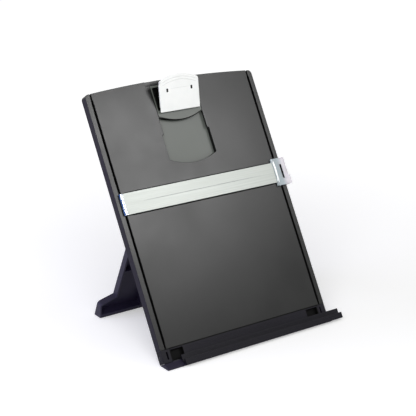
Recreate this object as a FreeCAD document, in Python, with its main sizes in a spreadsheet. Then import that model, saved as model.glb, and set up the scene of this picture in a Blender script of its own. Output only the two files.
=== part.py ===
"""Desk copy holder with a line guide.

A leaning board stands on a base rail and a fold-out rear leg. A sprung clip rides in a track at
the top, a line guide runs in two grooves, and a paper ledge slides sideways on the base rail.
Millimetres. +X is the reader's right, +Y is to the back, +Z is up. The origin is on the table,
under the middle of the rubber strip at the front.
"""
import FreeCAD, Part
import Sketcher
import math
import os
from FreeCAD import Placement, Rotation, Vector

doc = FreeCAD.newDocument("copy_holder")

# Driving dimensions, in millimetres and degrees
SIZES = {
    # Board
    "lean": 30.0,
    "board_width": 239.0,
    "board_side_height": 319.2,
    "arch_rise": 5.2,
    "board_depth": 10.0,
    "board_skin": 2.4,
    "board_wall": 2.4,
    "board_corner": 5.0,
    "seam_height": 15.4,
    "rib_thickness": 1.8,
    "rib_setback": 1.0,
    "low_rib_rise": 70.0,
    "high_rib_rise": 128.0,
    "groove_offset": 112.0,
    "groove_width": 1.8,
    "groove_depth": 4.6,
    "groove_wall": 1.6,
    "screw_radius": 1.2,
    "screw_head_radius": 2.3,
    "screw_head_height": 1.4,
    "screw_head_sink": 0.2,
    "screw_cross_length": 2.8,
    "screw_cross_width": 0.7,
    "screw_bite": 3.4,
    "screw_tip_gap": 0.1,
    "screw_clearance": 0.05,
    "boss_radius": 3.4,
    # Track for the clip slider
    "track_width": 67.0,
    "track_mouth": 62.5,
    "track_depth": 5.2,
    "track_floor_height": 226.4,
    "track_floor_drop": 7.5,
    "track_step_height": 257.4,
    "track_top_height": 318.4,
    "track_wall": 2.6,
    "track_plate_thickness": 1.8,
    "track_plate_border": 9.0,
    "scoop_width": 73.0,
    "scoop_depth": 2.2,
    # Clip slider
    "slide_clearance": 0.3,
    "slider_height": 38.0,
    "slider_pocket_floor": 1.3,
    "slider_rim": 2.6,
    "slider_pad_height": 8.6,
    "slider_ear_gap": 40.0,
    "slider_ear_thickness": 2.8,
    "ear_radius": 4.0,
    # Clip lever
    "clip_tilt": 23.0,
    "clip_width": 55.8,
    "clip_sheet": 1.8,
    "clip_below_pin": 22.2,
    "clip_above_pin": 14.5,
    "clip_top_rise": 6.5,
    "clip_corner": 3.0,
    "clip_pin_gap": 5.0,
    "clip_skirt_depth": 1.0,
    "clip_skirt_thickness": 1.3,
    "clip_skirt_end_gap": 1.0,
    "clip_hole_offset": 17.3,
    "clip_hole_rise": 3.0,
    "clip_hole_width": 2.2,
    "clip_hole_height": 3.9,
    "lever_ear_thickness": 2.3,
    "pin_height_up_board": 306.2,
    "pin_height_off_board": 5.7,
    "pin_radius": 1.5,
    "pin_clearance": 0.05,
    "pin_overhang": 0.5,
    "pad_width": 52.0,
    "pad_height": 4.6,
    "pad_setback": 0.2,
    "pad_paper_gap": 0.35,
    "spring_wire_radius": 0.45,
    "spring_coil_radius": 2.7,
    "spring_turns": 3.0,
    "spring_pitch": 1.7,
    "spring_leg": 8.0,
    "spring_lever_lift": 12.0,
    "spring_floor_angle": 50.0,
    "leaf_thickness": 0.3,
    "leaf_length": 24.0,
    "leaf_width": 8.0,
    "leaf_bow": 0.8,
    "leaf_clearance": 0.5,
    "leaf_touch_gap": 0.05,
    "leaf_end_gap": 3.0,
    # Line guide
    "guide_height": 25.0,
    "guide_middle_height": 185.4,
    "guide_sheet": 1.8,
    "guide_end_gap": 0.6,
    "paper_gap": 0.8,
    "guide_overlap": 5.0,
    "guide_cover": 1.2,
    "runner_proud": 0.6,
    "runner_tongue_setback": 1.0,
    "runner_blade": 1.5,
    "runner_blade_depth": 3.9,
    "runner_width": 3.6,
    "carriage_height": 34.0,
    "carriage_inner_edge": 105.5,
    "carriage_wall": 2.6,
    "carriage_side_gap": 2.2,
    "carriage_hook": 10.0,
    "carriage_slit_offset": 116.4,
    "carriage_slit_width": 2.4,
    "carriage_slit_length": 17.5,
    "finger_tab_reach": 2.2,
    "finger_tab_height": 11.0,
    # Base rail and end caps
    "cap_width": 12.3,
    "cap_lift": 0.25,
    "rail_drop": 0.25,
    "toe_reach": 17.0,
    "toe_edge": 1.8,
    "pocket_width": 16.5,
    "pocket_height": 12.5,
    "pocket_depth": 4.5,
    "pocket_sill": 1.0,
    "pocket_end_wall": 0.5,
    "cap_slot_height": 8.5,
    "cap_slot_middle": 7.9,
    "cap_slot_depth": 3.2,
    "cap_screw_depth": 7.2,
    "rail_tab_width": 30.0,
    "rail_tab_offset": 62.0,
    "rail_tab_height": 18.0,
    "rail_tab_thickness": 3.0,
    "base_screw_spread": 7.5,
    "base_screw_rise": 10.8,
    "slot_neck": 1.8,
    "slot_head": 3.8,
    "slot_neck_depth": 1.5,
    "slot_head_depth": 2.0,
    "slot_height": 2.5,
    "slot_clearance": 0.25,
    # Rubber strip and pads
    "rubber_thickness": 1.4,
    "rubber_proud": 0.6,
    "rubber_clearance": 0.1,
    "strip_setback": 3.0,
    "strip_width": 12.0,
    "strip_length": 208.0,
    # Paper ledge
    "ledge_length": 231.0,
    "ledge_shift": 18.75,
    "ledge_back": 1.2,
    "ledge_wall": 2.2,
    "ledge_wall_top": 4.9,
    "ledge_channel": 3.6,
    "ledge_lip": 2.3,
    "ledge_lip_rake": 0.35,
    "ledge_lip_top": -0.7,
    "ledge_bottom": -7.9,
    "ledge_floor_back": -2.6,
    "ledge_floor_front": -5.2,
    "ledge_underside": -0.9,
    "hook_length": 14.0,
    "hook_offset": 57.0,
    # Rear leg and hinge
    "leg_splay": 22.0,
    "hinge_height": 184.0,
    "hinge_stand_off": 7.5,
    "hinge_offset": 70.0,
    "knuckle_width": 11.5,
    "knuckle_radius": 4.2,
    "hinge_side_gap": 0.3,
    "bracket_ear": 2.6,
    "bracket_plate": 2.0,
    "bracket_width": 36.0,
    "bracket_height": 20.0,
    "bracket_screw_offset": 13.8,
    "hinge_pin_radius": 2.0,
    "leg_top_gap": 12.5,
    "leg_top_half_width": 79.0,
    "leg_knee_half_width": 84.4,
    "leg_knee_height": 24.9,
    "leg_foot_half_width": 105.3,
    "leg_foot_height": 18.1,
    "leg_foot_corner": 5.0,
    "leg_foot_depth": 13.3,
    "leg_tray_depth": 8.5,
    "leg_tray_bend_height": 16.5,
    "leg_face_gap": 0.7,
    "leg_wall": 2.2,
    "leg_panel": 2.0,
    "leg_arch_half_top": 24.0,
    "leg_arch_half_foot": 36.0,
    "leg_arch_height": 52.0,
    "leg_shelf_height": 61.5,
    "leg_upright_offset": 46.5,
    "foot_pad_length": 44.0,
    "foot_pad_width": 7.0,
    "foot_pad_offset": 77.0,
    "stop_clearance": 0.3,
    "heel_half": 1.8,
}

sheet = doc.addObject("Spreadsheet::Sheet", "Sizes")
for row, (alias, value) in enumerate(SIZES.items(), start=1):
    sheet.set("A{}".format(row), alias)
    sheet.set("B{}".format(row), str(value))
    sheet.setAlias("B{}".format(row), alias)
doc.recompute()


class Size:
    """A length or angle that knows its number and the sheet expression that gives it."""

    def __init__(self, text, value):
        self.text = text
        self.value = value

    def _join(self, sign, other, value, turned=False):
        first, second = (words(other), self.text) if turned else (self.text, words(other))
        return Size("({} {} {})".format(first, sign, second), value)

    def __add__(self, other):
        return self._join("+", other, self.value + number(other))

    def __radd__(self, other):
        return self._join("+", other, number(other) + self.value, True)

    def __sub__(self, other):
        return self._join("-", other, self.value - number(other))

    def __rsub__(self, other):
        return self._join("-", other, number(other) - self.value, True)

    def __mul__(self, other):
        return self._join("*", other, self.value * number(other))

    def __rmul__(self, other):
        return self._join("*", other, number(other) * self.value, True)

    def __truediv__(self, other):
        return self._join("/", other, self.value / number(other))

    def __neg__(self):
        return Size("(0 - {})".format(self.text), -self.value)


def number(size):
    """The plain number of a size."""
    return size.value if isinstance(size, Size) else float(size)


def words(size):
    """The expression of a size."""
    return size.text if isinstance(size, Size) else repr(float(size))


def sine(angle):
    return Size("sin({} * 1deg)".format(words(angle)), math.sin(math.radians(number(angle))))


def cosine(angle):
    return Size("cos({} * 1deg)".format(words(angle)), math.cos(math.radians(number(angle))))


def given(alias):
    """A driving dimension from the sheet."""
    return Size("Sizes.{}".format(alias), float(sheet.get(alias)))


class Dimensions:
    """Every driving dimension under its own name."""

    def __getattr__(self, alias):
        return given(alias)


d = Dimensions()


def bind(thing, prop, size):
    """Ties a property to the sheet."""
    thing.setExpression(prop, words(size))


def place(thing, angle, x, y, z):
    """Turns a sub-part about X and moves it to its place."""
    start = Vector(number(x), number(y), number(z))
    thing.Placement = Placement(start, Rotation(Vector(1, 0, 0), number(angle)))
    bind(thing, "Placement.Rotation.Angle", angle)
    bind(thing, "Placement.Base.x", x)
    bind(thing, "Placement.Base.y", y)
    bind(thing, "Placement.Base.z", z)


def body(name):
    """An empty sub-part, named as its node."""
    made = doc.addObject("PartDesign::Body", name)
    made.Label = name
    if hasattr(made, "AllowCompound"):
        made.AllowCompound = True
    return made


def origin_plane(owner, role):
    for feature in owner.Origin.OriginFeatures:
        if feature.Role == role:
            return feature
    raise RuntimeError("no origin plane " + role)


def outline(owner, name, role, points, level=0.0):
    """A closed sketch outline. A point is (x, y), or (x, y, rise) where the edge that leaves it is
    an arc over a level chord, rise above the chord (below it for a minus)."""
    drawn = owner.newObject("Sketcher::SketchObject", owner.Name + "_" + name)
    drawn.AttachmentSupport = [(origin_plane(owner, role), "")]
    drawn.MapMode = "FlatFace"
    bind(drawn, "AttachmentOffset.Base.z", level)
    spots = [Vector(number(p[0]), number(p[1]), 0) for p in points]
    count = len(points)
    for index in range(count):
        here = spots[index]
        there = spots[(index + 1) % count]
        if len(points[index]) == 2:
            drawn.addGeometry(Part.LineSegment(here, there), False)
        else:
            top = (here + there) / 2 + Vector(0, number(points[index][2]), 0)
            drawn.addGeometry(Part.Arc(here, top, there), False)
    ends = []
    for index in range(count):
        segment = drawn.Geometry[index]
        starts_here = (segment.StartPoint - spots[index]).Length < 1e-6
        ends.append((1, 2) if starts_here else (2, 1))
    rules = SketchRules(drawn)
    for index in range(count):
        after = (index + 1) % count
        rules.join(index, ends[index][1], after, ends[after][0])
        rules.pin(index, ends[index][0], points[index][0], points[index][1])
        if len(points[index]) == 3:
            half = (points[after][0] - points[index][0]) / 2
            rise = points[index][2]
            rules.radius(index, (half * half + rise * rise) / (2 * rise))
    return drawn


class SketchRules:
    """Adds constraints to a sketch and ties the measured ones to the sheet."""

    def __init__(self, drawn):
        self.make = Sketcher.Constraint
        self.drawn = drawn

    def join(self, first, first_end, second, second_end):
        self.drawn.addConstraint(self.make("Coincident", first, first_end, second, second_end))

    def pin(self, edge, end, x, y):
        for kind, size in (("DistanceX", x), ("DistanceY", y)):
            rule = self.make(kind, -1, 1, edge, end, number(size))
            index = self.drawn.addConstraint(rule)
            if isinstance(size, Size):
                self.drawn.setExpression("Constraints[{}]".format(index), words(size))

    def radius(self, edge, size):
        sign = 1 if number(size) > 0 else -1
        rule = self.make("Radius", edge, abs(number(size)))
        index = self.drawn.addConstraint(rule)
        self.drawn.setExpression("Constraints[{}]".format(index), words(sign * size))


def pad(owner, name, drawn, length):
    """Adds the outline's solid, towards the sketch's normal."""
    made = owner.newObject("PartDesign::Pad", owner.Name + "_" + name)
    made.Profile = drawn
    bind(made, "Length", length)
    drawn.Visibility = False
    return made


def pocket(owner, name, drawn, length):
    """Cuts the outline's solid away, towards the sketch's normal."""
    made = owner.newObject("PartDesign::Pocket", owner.Name + "_" + name)
    made.Profile = drawn
    made.Reversed = True
    bind(made, "Length", length)
    drawn.Visibility = False
    return made


def block(owner, name, low, high, cut=False):
    """A box between two corners, added or cut."""
    kind = "PartDesign::SubtractiveBox" if cut else "PartDesign::AdditiveBox"
    made = owner.newObject(kind, owner.Name + "_" + name)
    for prop, first, last in zip(("Length", "Width", "Height"), low, high):
        bind(made, prop, last - first)
    for axis, first in zip("xyz", low):
        bind(made, "Placement.Base." + axis, first)
    return made


TURNS = {"x": Rotation(Vector(0, 1, 0), 90), "y": Rotation(Vector(1, 0, 0), -90), "z": Rotation()}


def rod(owner, name, axis, radius, start, length, cut=False):
    """A cylinder along an axis from a start point, added or cut."""
    kind = "PartDesign::SubtractiveCylinder" if cut else "PartDesign::AdditiveCylinder"
    made = owner.newObject(kind, owner.Name + "_" + name)
    made.Placement = Placement(Vector(), TURNS[axis])
    bind(made, "Radius", radius)
    bind(made, "Height", length)
    for letter, where in zip("xyz", start):
        bind(made, "Placement.Base." + letter, where)
    return made


def round_corners(made, name, radius, x, y):
    """Rounds the edges along z that stand at (x, y) and (-x, y)."""
    doc.recompute()
    tip = made.Tip
    chosen = []
    for index, edge in enumerate(tip.Shape.Edges, start=1):
        middle = edge.CenterOfMass
        upright = edge.BoundBox.XLength < 1e-6 and edge.BoundBox.YLength < 1e-6
        beside = abs(abs(middle.x) - number(x)) < 1e-4
        level = abs(middle.y - number(y)) < 1e-4
        if upright and beside and level:
            chosen.append("Edge{}".format(index))
    rounded = made.newObject("PartDesign::Fillet", made.Name + "_" + name)
    rounded.Base = (tip, chosen)
    bind(rounded, "Radius", radius)
    return rounded


def span(side, near, far):
    """Low and high X of a stretch from near to far on the left (-1) or right (1) side."""
    return (near, far) if side > 0 else (-far, -near)


SIDES = (("left", -1), ("right", 1))
# How far a cut runs past a face, how far two forms of one piece run into each other, how far an
# outline starts below the sole that trims it, and the running gap at the board's face
PAST = 1.0
INTO = 0.5
UNDER_SOLE = 10.0
FACE_GAP = 0.15

# Where things stand in the board's own frame: x across, y up the board, z out of its face
half_width = d.board_width / 2
strip_middle = d.strip_setback + d.strip_width / 2
board_angle = 90 - d.lean
board_y = strip_middle - d.board_depth * cosine(d.lean)
board_z = d.rubber_proud + d.board_depth * sine(d.lean)


def on_board(made, shift=0.0):
    """Places a sub-part that is made in the board's frame."""
    place(made, board_angle, shift, board_y, board_z)


def board_point(up, out):
    """World y and z of a point given up the board and out of its face."""
    y = board_y + up * sine(d.lean) - out * cosine(d.lean)
    z = board_z + up * cosine(d.lean) + out * sine(d.lean)
    return y, z


def base_point(forward, height):
    """Board-frame y and z of a point given forward of the board's back edge and over the sole."""
    up = height * cosine(d.lean) - forward * sine(d.lean)
    out = forward * cosine(d.lean) + height * sine(d.lean) - d.board_depth
    return up, out


def screws(name, spots, seat, bite):
    """Pan-head screws driven along +z from a seat level, one solid at each (x, y)."""
    made = body(name)
    for index, (x, y) in enumerate(spots):
        head = "head_{}".format(index)
        rod(made, head, "z", d.screw_head_radius, (x, y, seat - d.screw_head_height),
            d.screw_head_height)
        rod(made, "shank_{}".format(index), "z", d.screw_radius, (x, y, seat), bite)
        long, short = d.screw_cross_length / 2, d.screw_cross_width / 2
        for arm, (wide, tall) in enumerate(((long, short), (short, long))):
            block(made, "cross_{}_{}".format(index, arm),
                  (x - wide, y - tall, seat - d.screw_head_height - PAST),
                  (x + wide, y + tall, seat - d.screw_head_height / 2), cut=True)
    return made


# Board
track_half = d.track_width / 2
mouth_half = d.track_mouth / 2
plate_half = track_half + d.track_plate_border
plate_bottom = d.track_floor_height - d.track_floor_drop - d.track_plate_border / 2
plate_top = d.track_top_height + d.track_wall / 2
lip = d.board_skin
plate_screws = [(side * (plate_half - d.boss_radius), height)
                for _, side in SIDES
                for height in (plate_bottom + d.boss_radius, plate_top - 3 * d.boss_radius)]
hinge_screws = [(side * (d.hinge_offset + end * d.bracket_screw_offset), d.hinge_height)
                for _, side in SIDES for end in (-1, 1)]
base_screw_bite = d.board_skin / 2 - d.screw_tip_gap
base_screws = [(side * (d.rail_tab_offset + end * d.base_screw_spread),
                d.seam_height + d.base_screw_rise)
               for _, side in SIDES for end in (-1, 1)]


def make_board():
    """Moulded panel: a skin with a wall round three edges, ribs, two grooves and the clip's track."""
    made = body("board")
    top = d.board_side_height
    edge = [(-half_width, d.seam_height), (half_width, d.seam_height),
            (half_width, top, d.arch_rise), (-half_width, top)]
    edge_sketch = outline(made, "edge", "XY_Plane", edge, -d.board_depth)
    pad(made, "plate", edge_sketch, d.board_depth)
    round_corners(made, "top_round", d.board_corner, half_width, top)
    inner = half_width - d.board_wall
    hollow = [(-inner, d.seam_height - PAST), (inner, d.seam_height - PAST),
              (inner, top - d.board_wall, d.arch_rise), (-inner, top - d.board_wall)]
    hollow_sketch = outline(made, "hollow", "XY_Plane", hollow, -d.board_depth - PAST)
    pocket(made, "hollow_cut", hollow_sketch, d.board_depth - d.board_skin + PAST)
    back = -d.board_skin
    for index, rise in enumerate((d.low_rib_rise, d.high_rib_rise)):
        rib_low = d.seam_height + rise
        block(made, "rib_{}".format(index), (-inner, rib_low, -d.board_depth + d.rib_setback),
              (inner, rib_low + d.rib_thickness, back))
    hinge_rib = d.hinge_height - d.rib_thickness / 2
    block(made, "hinge_rib", (-inner, hinge_rib, -d.board_depth + d.rib_setback),
          (inner, hinge_rib + d.rib_thickness, back))
    channel_half = d.groove_width / 2 + d.groove_wall
    for side_name, side in SIDES:
        low, high = span(side, d.groove_offset - channel_half, d.groove_offset + channel_half)
        block(made, "groove_wall_" + side_name, (low, d.seam_height, -d.groove_depth - d.groove_wall),
              (high, top - d.board_wall, back))
    ring_half = track_half + d.track_wall
    block(made, "track_wall", (-ring_half, plate_bottom, -d.track_depth),
          (ring_half, d.track_top_height + d.track_wall, back))
    for index, (x, y) in enumerate(plate_screws):
        rod(made, "plate_boss_{}".format(index), "z", d.boss_radius, (x, y, -d.track_depth),
            d.track_depth - d.board_skin / 2)
    for index, (x, y) in enumerate(hinge_screws):
        rod(made, "hinge_boss_{}".format(index), "z", d.boss_radius + PAST, (x, y, -d.board_depth),
            d.board_depth - d.board_skin / 2)
    pilot = d.screw_radius + d.screw_clearance
    for index, (x, y) in enumerate(plate_screws):
        rod(made, "plate_pilot_{}".format(index), "z", pilot, (x, y, -d.track_depth - PAST),
            d.screw_bite + PAST, cut=True)
    for index, (x, y) in enumerate(hinge_screws):
        rod(made, "hinge_pilot_{}".format(index), "z", pilot, (x, y, -d.board_depth - PAST),
            2 * d.screw_bite + PAST, cut=True)
    for index, (x, y) in enumerate(base_screws):
        rod(made, "base_pilot_{}".format(index), "z", pilot, (x, y, back - PAST),
            PAST + base_screw_bite + d.screw_tip_gap, cut=True)
    arc_floor = [(track_half, d.track_floor_height), (track_half, d.track_top_height),
                 (-track_half, d.track_top_height),
                 (-track_half, d.track_floor_height, -d.track_floor_drop)]
    track = outline(made, "track", "XY_Plane", arc_floor, -d.board_depth)
    pocket(made, "track_cut", track, d.board_depth - lip)
    wide = [(track_half, d.track_floor_height), (track_half, d.track_step_height),
            (-track_half, d.track_step_height),
            (-track_half, d.track_floor_height, -d.track_floor_drop)]
    wide_sketch = outline(made, "wide_mouth", "XY_Plane", wide, -lip - PAST)
    pocket(made, "wide_mouth_cut", wide_sketch, lip + 2 * PAST)
    block(made, "mouth", (-mouth_half, d.track_step_height - PAST, -lip - PAST),
          (mouth_half, d.track_top_height, PAST), cut=True)
    scoop_top = top + d.arch_rise + PAST
    scoop = [(d.track_top_height, PAST), (d.track_top_height, -d.scoop_depth),
             (scoop_top, -d.scoop_depth / 2), (scoop_top, PAST)]
    scoop_sketch = outline(made, "scoop", "YZ_Plane", scoop, -d.scoop_width / 2)
    pocket(made, "scoop_cut", scoop_sketch, d.scoop_width)
    for side_name, side in SIDES:
        low, high = span(side, d.groove_offset - d.groove_width / 2,
                         d.groove_offset + d.groove_width / 2)
        block(made, "groove_" + side_name, (low, d.seam_height - PAST, -d.groove_depth),
              (high, scoop_top, PAST), cut=True)
    on_board(made)
    return made


def make_track_back_plate():
    """Flat cover that closes the back of the clip's track."""
    made = body("track_back_plate")
    back = -d.track_depth - d.track_plate_thickness
    block(made, "plate", (-plate_half, plate_bottom, back), (plate_half, plate_top, -d.track_depth))
    for index, (x, y) in enumerate(plate_screws):
        rod(made, "hole_{}".format(index), "z", d.screw_radius + 2 * d.screw_clearance,
            (x, y, back - PAST), d.track_plate_thickness + 2 * PAST, cut=True)
    on_board(made)
    bite = d.track_plate_thickness + d.screw_bite - d.screw_tip_gap
    on_board(screws("track_plate_screws", plate_screws, back, bite))


# Base rail, end caps and front rubber
rail_half = half_width - d.cap_width
pocket_far = rail_half - d.pocket_end_wall
slot_low = d.slot_height - d.slot_neck / 2
head_low = d.slot_height - d.slot_head / 2


def make_base_rail():
    """Bar under the board, with a thin toe on the table, entry pockets and the ledge's T slot."""
    made = body("base_rail")
    toe_top = base_point(d.toe_reach, d.toe_edge)
    toe_low = base_point(d.toe_reach, 0.0)
    toe = [(0.0, -d.board_depth), toe_low, toe_top, (0.0, 0.0)]
    toe_sketch = outline(made, "toe", "YZ_Plane", toe, -half_width)
    pad(made, "toe_pad", toe_sketch, d.board_width)
    block(made, "bar", (-rail_half, -d.rail_drop, -d.board_depth), (rail_half, d.seam_height, 0.0))
    for side_name, side in SIDES:
        low, high = span(side, d.rail_tab_offset - d.rail_tab_width / 2,
                         d.rail_tab_offset + d.rail_tab_width / 2)
        block(made, "tab_" + side_name,
              (low, d.seam_height - PAST, -d.board_skin - d.rail_tab_thickness),
              (high, d.seam_height + d.rail_tab_height, -d.board_skin))
        low, high = span(side, pocket_far - d.pocket_width, pocket_far)
        block(made, "pocket_" + side_name, (low, d.pocket_sill, -d.pocket_depth),
              (high, d.pocket_sill + d.pocket_height, PAST), cut=True)
    for index, (x, y) in enumerate(base_screws):
        rod(made, "hole_{}".format(index), "z", d.screw_radius + 2 * d.screw_clearance,
            (x, y, -d.board_depth), d.board_depth, cut=True)
    slot_half = pocket_far - d.pocket_width + INTO
    deep = d.slot_neck_depth + d.slot_head_depth
    block(made, "slot_neck", (-slot_half, slot_low, -d.slot_neck_depth - INTO),
          (slot_half, slot_low + d.slot_neck, PAST), cut=True)
    block(made, "slot_head", (-slot_half, head_low, -deep),
          (slot_half, head_low + d.slot_head, -d.slot_neck_depth), cut=True)
    seat = d.rubber_thickness - d.rubber_proud
    near, far = d.strip_setback, d.strip_setback + d.strip_width
    groove = [base_point(near, -PAST), base_point(far, -PAST), base_point(far, seat),
              base_point(near, seat)]
    groove_sketch = outline(made, "strip_seat", "YZ_Plane", groove, -d.strip_length / 2)
    pocket(made, "strip_seat_cut", groove_sketch, d.strip_length)
    cap_bore = d.screw_radius + d.screw_clearance
    for side_name, side in SIDES:
        low, _ = span(side, rail_half - 2 * d.screw_bite, rail_half)
        rod(made, "cap_pilot_" + side_name, "x", cap_bore,
            (low, d.seam_height / 2, -d.cap_screw_depth), 2 * d.screw_bite, cut=True)
    on_board(made)
    on_board(screws("base_screws", base_screws, -d.board_skin - d.rail_tab_thickness,
                    d.rail_tab_thickness + base_screw_bite))


def make_end_caps():
    """Blocks that close the rail's ends, each with a slot in line with the groove above it."""
    for side_name, side in SIDES:
        made = body("base_end_cap_" + side_name)
        low, high = span(side, rail_half, half_width)
        block(made, "block", (low, d.cap_lift, -d.board_depth), (high, d.seam_height, 0.0))
        low, high = span(side, d.groove_offset - d.groove_width / 2,
                         d.groove_offset + d.groove_width / 2)
        slot_top = d.cap_slot_middle + d.cap_slot_height / 2
        block(made, "slot", (low, slot_top - d.cap_slot_height, -d.cap_slot_depth),
              (high, slot_top, PAST), cut=True)
        low, high = span(side, rail_half - PAST, half_width + PAST)
        rod(made, "hole", "x", d.screw_radius + 2 * d.screw_clearance,
            (low, d.seam_height / 2, -d.cap_screw_depth), d.cap_width + 2 * PAST, cut=True)
        seat_depth = d.screw_head_height + d.screw_head_sink
        low, high = span(side, half_width - seat_depth, half_width + PAST)
        rod(made, "head_seat", "x", d.screw_head_radius + 2 * d.screw_clearance,
            (low, d.seam_height / 2, -d.cap_screw_depth), seat_depth + PAST, cut=True)
        on_board(made)


def make_end_cap_screws():
    """One screw through each end cap, along x into the rail."""
    made = body("end_cap_screws")
    seat = half_width - d.screw_head_height - d.screw_head_sink
    tip = rail_half - d.screw_bite
    for side_name, side in SIDES:
        low, _ = span(side, seat, seat + d.screw_head_height)
        rod(made, "head_" + side_name, "x", d.screw_head_radius,
            (low, d.seam_height / 2, -d.cap_screw_depth), d.screw_head_height)
        low, _ = span(side, tip, seat)
        rod(made, "shank_" + side_name, "x", d.screw_radius,
            (low, d.seam_height / 2, -d.cap_screw_depth), seat - tip)
    on_board(made)


def make_front_strip():
    """Rubber strip let into the sole of the base rail."""
    made = body("front_grip_strip")
    play = d.rubber_clearance
    near, far = d.strip_setback + play, d.strip_setback + d.strip_width - play
    low = -d.rubber_proud
    high = d.rubber_thickness - d.rubber_proud
    section = [base_point(near, low), base_point(far, low), base_point(far, high),
               base_point(near, high)]
    drawn = outline(made, "section", "YZ_Plane", section, -d.strip_length / 2 + play)
    pad(made, "strip", drawn, d.strip_length - 2 * play)
    on_board(made)


# Paper ledge
ledge_front = d.ledge_back + d.ledge_wall
lip_back = ledge_front + d.ledge_channel


def make_paper_ledge():
    """J-shaped shelf as long as the board, with two T hooks that run in the base rail's slot."""
    made = body("paper_ledge")
    lip_front = lip_back + d.ledge_lip
    section = [(d.ledge_wall_top, d.ledge_back), (d.ledge_wall_top, ledge_front),
               (d.ledge_floor_back, ledge_front), (d.ledge_floor_front, lip_back),
               (d.ledge_lip_top, lip_back), (d.ledge_lip_top, lip_front),
               (d.ledge_bottom, lip_front), (d.ledge_bottom, lip_back + d.ledge_lip_rake),
               (d.ledge_underside, d.ledge_back)]
    drawn = outline(made, "section", "YZ_Plane", section, -d.ledge_length / 2)
    pad(made, "shelf", drawn, d.ledge_length)
    neck_low = slot_low + d.slot_clearance
    neck_high = slot_low + d.slot_neck - d.slot_clearance
    hook_low = head_low + d.slot_clearance
    hook_high = head_low + d.slot_head - d.slot_clearance
    hook_front = -d.slot_neck_depth - d.slot_clearance
    hook_back = -d.slot_neck_depth - d.slot_head_depth + d.slot_clearance
    for side_name, side in SIDES:
        low, high = span(side, d.hook_offset - d.hook_length / 2, d.hook_offset + d.hook_length / 2)
        block(made, "neck_" + side_name, (low, neck_low, hook_back),
              (high, neck_high, d.ledge_back + INTO))
        block(made, "hook_" + side_name, (low, hook_low, hook_back), (high, hook_high, hook_front))
    on_board(made, d.ledge_shift)


# Clip slider
slider_back = -d.track_depth + d.slide_clearance / 2
slider_top = d.track_top_height - d.slide_clearance
slider_side = slider_top - d.slider_height
face_half = mouth_half - d.slide_clearance
flange_half = track_half - d.slide_clearance
slider_ear_far = d.slider_ear_gap / 2 + d.slider_ear_thickness


def make_clip_slider():
    """Plate in the track with side flanges, a flat pad below, a deep pocket and two pin ears."""
    made = body("clip_slider")
    flange_top = -lip - d.slide_clearance / 2
    shape = [(flange_half, slider_side), (flange_half, slider_top), (-flange_half, slider_top),
             (-flange_half, slider_side, -d.track_floor_drop)]
    plate = outline(made, "plate", "XY_Plane", shape, slider_back)
    pad(made, "plate_pad", plate, -slider_back)
    for side_name, side in SIDES:
        low, high = span(side, face_half, flange_half + PAST)
        block(made, "step_" + side_name, (low, slider_side - d.track_floor_drop, flange_top),
              (high, slider_top + PAST, PAST), cut=True)
    pocket_half = face_half - d.slider_rim
    pocket_floor = slider_back + d.slider_pocket_floor
    block(made, "pocket", (-pocket_half, slider_side + d.slider_pad_height - PAST, pocket_floor),
          (pocket_half, slider_top - d.slider_rim, PAST), cut=True)
    for side_name, side in SIDES:
        low, high = span(side, d.slider_ear_gap / 2, slider_ear_far)
        block(made, "ear_" + side_name, (low, d.pin_height_up_board - d.ear_radius, pocket_floor),
              (high, d.pin_height_up_board + d.ear_radius, d.pin_height_off_board))
        rod(made, "ear_round_" + side_name, "x", d.ear_radius,
            (low, d.pin_height_up_board, d.pin_height_off_board), d.slider_ear_thickness)
    bore_half = slider_ear_far + PAST
    rod(made, "pin_hole", "x", d.pin_radius + d.pin_clearance / 2,
        (-bore_half, d.pin_height_up_board, d.pin_height_off_board), 2 * bore_half, cut=True)
    leaf_half = d.leaf_length / 2 + d.leaf_clearance
    leaf_low = leaf_height - d.leaf_width / 2 - d.leaf_clearance
    leaf_high = leaf_height + d.leaf_width / 2 + d.leaf_clearance
    block(made, "leaf_seat", (-leaf_half, leaf_low, slider_back - PAST),
          (leaf_half, leaf_high, slider_back + d.leaf_bow), cut=True)
    on_board(made)


leaf_height = slider_side + d.slider_pad_height / 2


def make_slider_leaf():
    """Bowed steel leaf between the slider and the plate behind it, which holds the slider by friction."""
    made = body("slider_friction_spring")
    half = d.leaf_length / 2
    crest = slider_back - d.slide_clearance / 2 + d.leaf_touch_gap
    seat = slider_back + d.leaf_bow - d.leaf_touch_gap
    shape = [(-half, seat - d.leaf_thickness), (-half / 4, crest), (half / 4, crest),
             (half, seat - d.leaf_thickness), (half, seat), (half / 4, crest + d.leaf_thickness),
             (-half / 4, crest + d.leaf_thickness), (-half, seat)]
    drawn = outline(made, "section", "XZ_Plane", shape, -(leaf_height + d.leaf_width / 2))
    pad(made, "leaf", drawn, d.leaf_width)
    on_board(made)


# Clip lever, in its own frame: the pin's axis is x, y runs up the sheet, z out of it
lever_angle = board_angle + d.clip_tilt
lever_y, lever_z = board_point(d.pin_height_up_board, d.pin_height_off_board)
lever_back = d.clip_pin_gap
lever_ear_near = slider_ear_far + d.slide_clearance
lever_ear_far = lever_ear_near + d.lever_ear_thickness


def on_lever(made):
    place(made, lever_angle, 0.0, lever_y, lever_z)


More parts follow.
